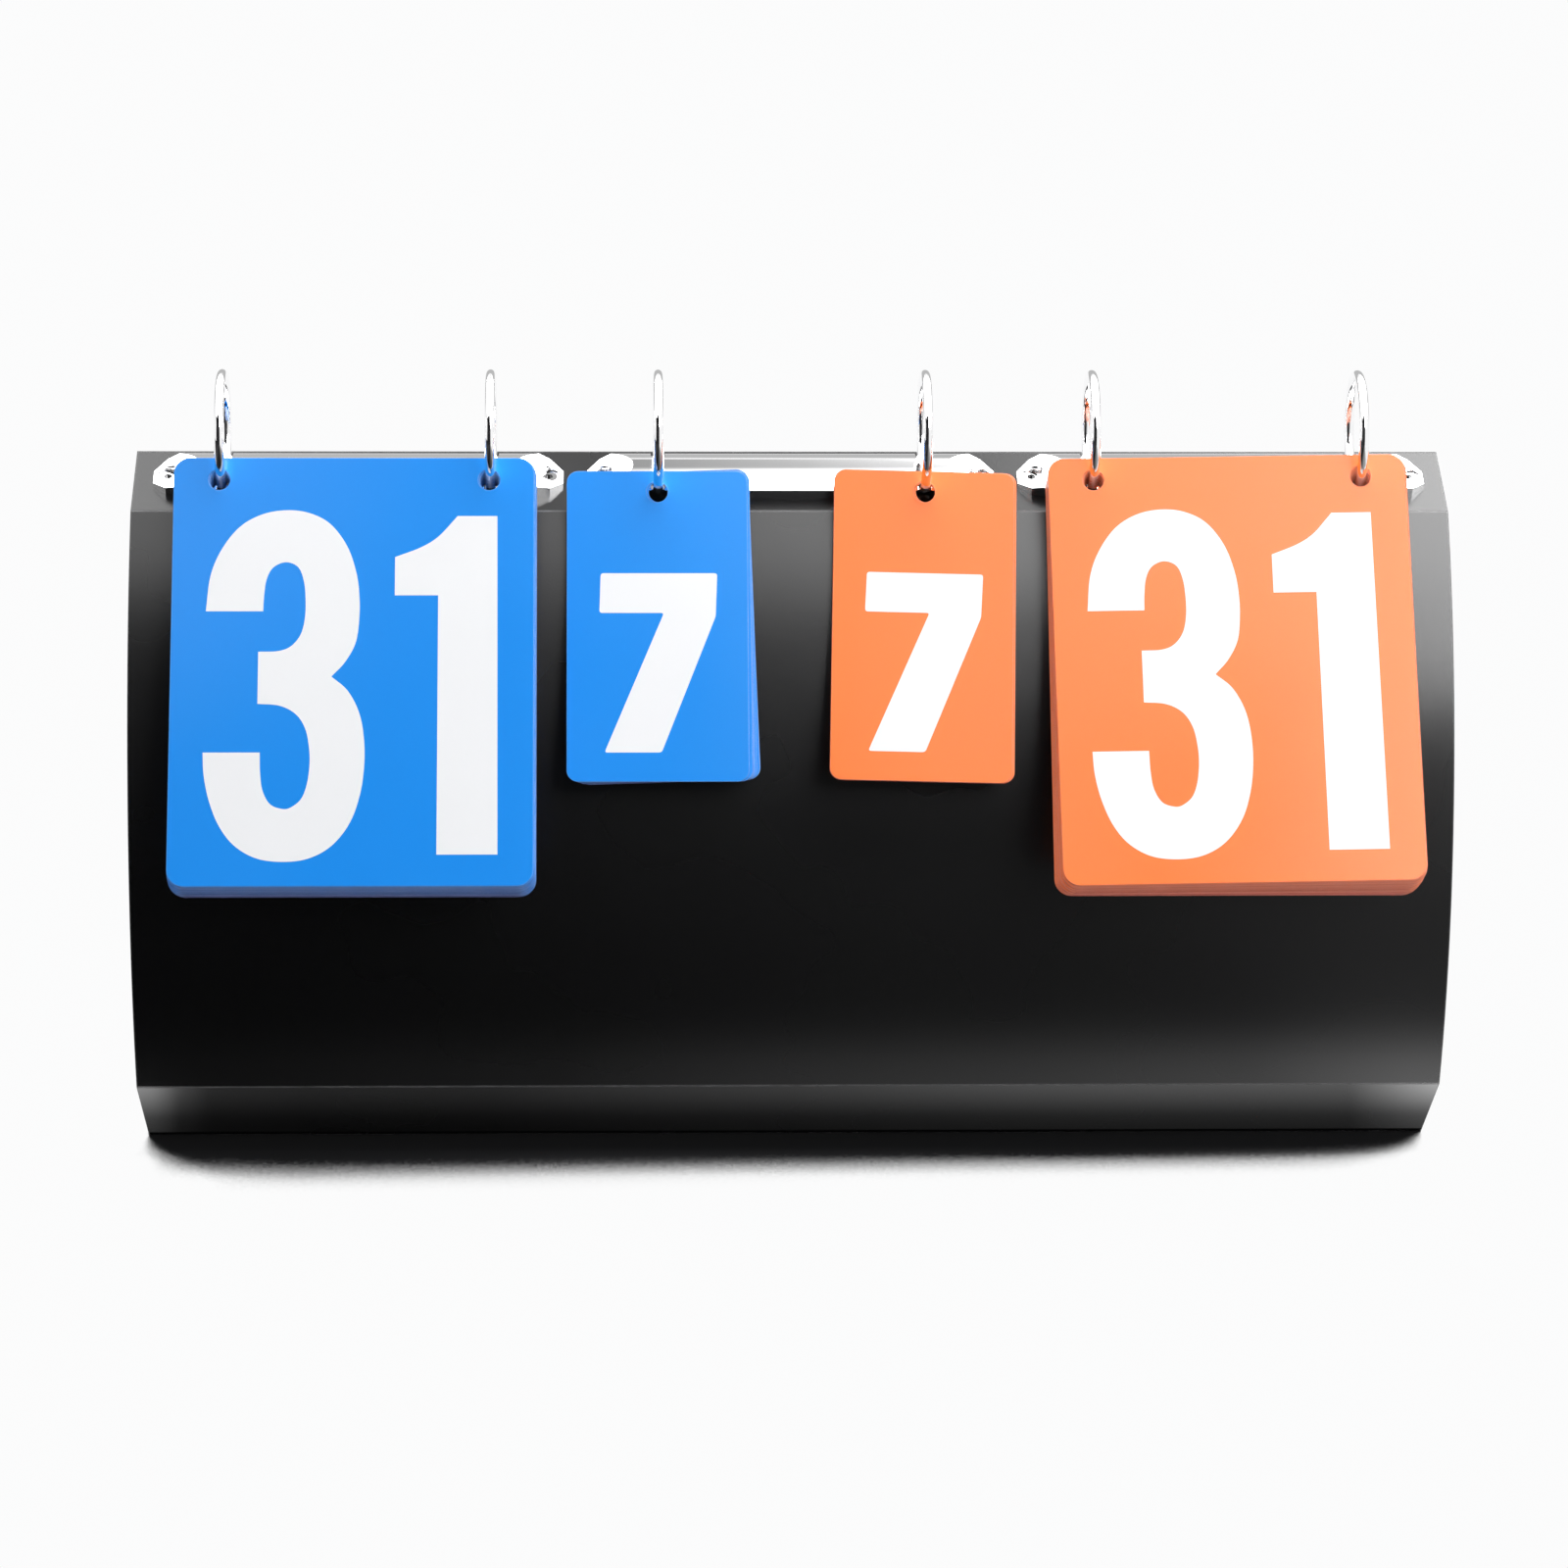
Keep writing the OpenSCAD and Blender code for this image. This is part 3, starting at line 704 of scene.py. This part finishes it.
# a ceiling of softboxes as the surfaces mirror them: its front edge, and how bright it is across the set
softboxes = {
    "height": 1.25, "rear": 1.55,
    "front": [(-1.6, -1.00), (-0.28, -0.97), (-0.20, -0.91), (-0.10, -0.64), (-0.03, -0.86), (0.03, -0.85),
              (0.11, -1.20), (0.16, -1.20), (0.22, -1.00), (0.26, -0.93), (0.30, -0.93), (0.35, -1.00),
              (0.42, -1.9), (0.56, -2.2), (1.6, -2.3)],
    "frontGlow": [(-0.60, 3.3), (-0.29, 2.9), (-0.17, 1.9), (-0.10, 0.45), (0.00, 3.3), (0.06, 4.0),
                  (0.18, 4.8), (0.27, 8.0), (0.36, 9.6), (0.45, 12.5), (0.6, 13.0)],
    "rearGlow": [(-0.60, 5.0), (-0.29, 3.85), (-0.17, 1.1), (-0.07, 0.28), (0.05, 0.55), (0.12, 0.9),
                 (0.24, 4.2), (0.37, 8.0), (0.6, 9.0)],
    "rearward": (-0.35, 0.55),  # where the front glow gives way to the rear one
    "topGlow": 1.5, "topFrom": (-0.50, -0.25), "topTo": (0.50, 0.30),  # a brighter stretch over the object
}


def makeSoftboxes(values):
    material, tree, glow = newGlow("softboxCloth")
    across, back = objectAxis(tree, "X"), objectAxis(tree, "Y")
    front, frontMost = glowAlong(tree, across, values["frontGlow"])
    rear, rearMost = glowAlong(tree, across, values["rearGlow"])
    rearShare = ramp(tree, back, *values["rearward"])
    tree.links.new(mixColour(tree, rearShare, front, rear), glow.inputs["Color"])
    topFrom, topTo = (ramp(tree, back, *values[k]) for k in ("topFrom", "topTo"))
    top = mathNode(tree, "MULTIPLY", topFrom, topTo)
    level = mathNode(tree, "ADD", 1.0, mathNode(tree, "MULTIPLY", top, values["topGlow"] - 1))
    most = mathNode(tree, "ADD", frontMost, mathNode(tree, "MULTIPLY", rearShare, rearMost - frontMost))
    tree.links.new(mathNode(tree, "MULTIPLY", most, level), glow.inputs["Strength"])
    edge = np.array(values["front"])
    rearEdge = np.column_stack([edge[:, 0], np.full(len(edge), values["rear"])])
    plan = np.vstack([edge, rearEdge])
    spots = np.column_stack([plan, np.full(len(plan), values["height"])])
    k = np.arange(len(edge) - 1)
    faces = np.column_stack([k, k + len(edge), k + len(edge) + 1, k + 1])
    onlyMirrored(makeStageMesh("softboxes", spots, faces, material))


# glowing boards on the floor that only reflections show, painted reflections in the sheet: how bright they
# are across the set, and from far to near as a share of that
floorGlowBoards = {
    "nearGlowBoard": {
        "height": 0.0015,
        "across": [(-0.21, 4.0), (-0.195, 2.6), (-0.187, 0.7), (-0.178, 0.25), (-0.147, 0.20), (-0.09, 0.22),
                   (0.0, 0.5), (0.074, 0.85), (0.145, 1.0), (0.174, 1.1), (0.185, 2.4), (0.21, 6.0)],
        "deep": [(-0.078, 1.0), (-0.062, 1.0), (-0.050, 0.15), (-0.0425, 0.05)],
    },
    "farGlowBoard": {
        "height": 0.0015,
        "across": [(-0.30, 0.05), (-0.19, 0.05), (-0.07, 0.19), (0.0, 0.5), (0.074, 0.78), (0.145, 1.2),
                   (0.195, 2.4), (0.40, 2.6)],
        "deep": [(-1.40, 0.12), (-0.135, 0.14), (-0.095, 1.0), (-0.078, 1.0)],
    },
}


def makeFloorGlowBoard(name, values):
    material, tree, glow = newGlow(name)
    across, most = glowAlong(tree, objectAxis(tree, "X"), values["across"])
    share = glowAlong(tree, objectAxis(tree, "Y"), values["deep"])[0]
    tree.links.new(across, glow.inputs["Color"])
    tree.links.new(mathNode(tree, "MULTIPLY", share, most), glow.inputs["Strength"])
    left, right = values["across"][0][0], values["across"][-1][0]
    far, near = values["deep"][0][0], values["deep"][-1][0]
    z = values["height"]
    corners = [(left, near, z), (left, far, z), (right, far, z), (right, near, z)]
    onlyMirrored(makeStageMesh(name, corners, [(0, 1, 2, 3)], material))


rearGlowWall = {"half": 3.0, "y": 1.56, "foot": 0.10, "top": 1.0, "glow": 0.50}


def makeRearGlowWall(values):
    # a glowing wall that only reflections show: painted grey reflections in the rear sides of the covers and
    # the tops of the rings
    material, tree, glow = newGlow("rearGlowWall")
    glow.inputs["Strength"].default_value = values["glow"]
    half, y, foot, top = (values[k] for k in ("half", "y", "foot", "top"))
    corners = [(-half, y, foot), (half, y, foot), (half, y, top), (-half, y, top)]
    onlyMirrored(makeStageMesh("rearGlowWall", corners, [(0, 1, 2, 3)], material))


darkCloth = {
    "colour": (0.02, 0.02, 0.022), "rough": 0.9, "specular": 0.1, "left": -2.2,
    # y, z and right end of each row, from the object over the floor and up to the ceiling behind the camera
    "rows": [(-0.0425, 0.001, 0.42), (-1.42, 0.001, 0.42), (-1.46, 0.15, 0.43), (-1.46, 1.10, 0.44),
             (-1.40, 1.27, 0.38), (-0.60, 1.27, 0.33)],
}


def makeDarkCloth(values):
    # the sheet mirrors this cloth, which only reflections show: painted dark reflections
    material, tree, shader = newMaterial("darkCloth")
    for name, value in (("Base Color", values["colour"]), ("Roughness", values["rough"]),
                        ("Specular IOR Level", values["specular"])):
        feed(tree, value, shader.inputs[name])
    spots = [(x, y, z) for y, z, right in values["rows"] for x in (values["left"], right)]
    k = 2 * np.arange(len(values["rows"]) - 1)
    onlyMirrored(makeStageMesh("darkCloth", spots, np.column_stack([k, k + 2, k + 3, k + 1]), material))


makeFloor(paperFloor)
makeWorld(surroundings)
for name, values in lamps.items():
    makeLamp(name, values)
makeSoftboxes(softboxes)
for name, values in floorGlowBoards.items():
    makeFloorGlowBoard(name, values)
makeRearGlowWall(rearGlowWall)
makeDarkCloth(darkCloth)
print("studio set")
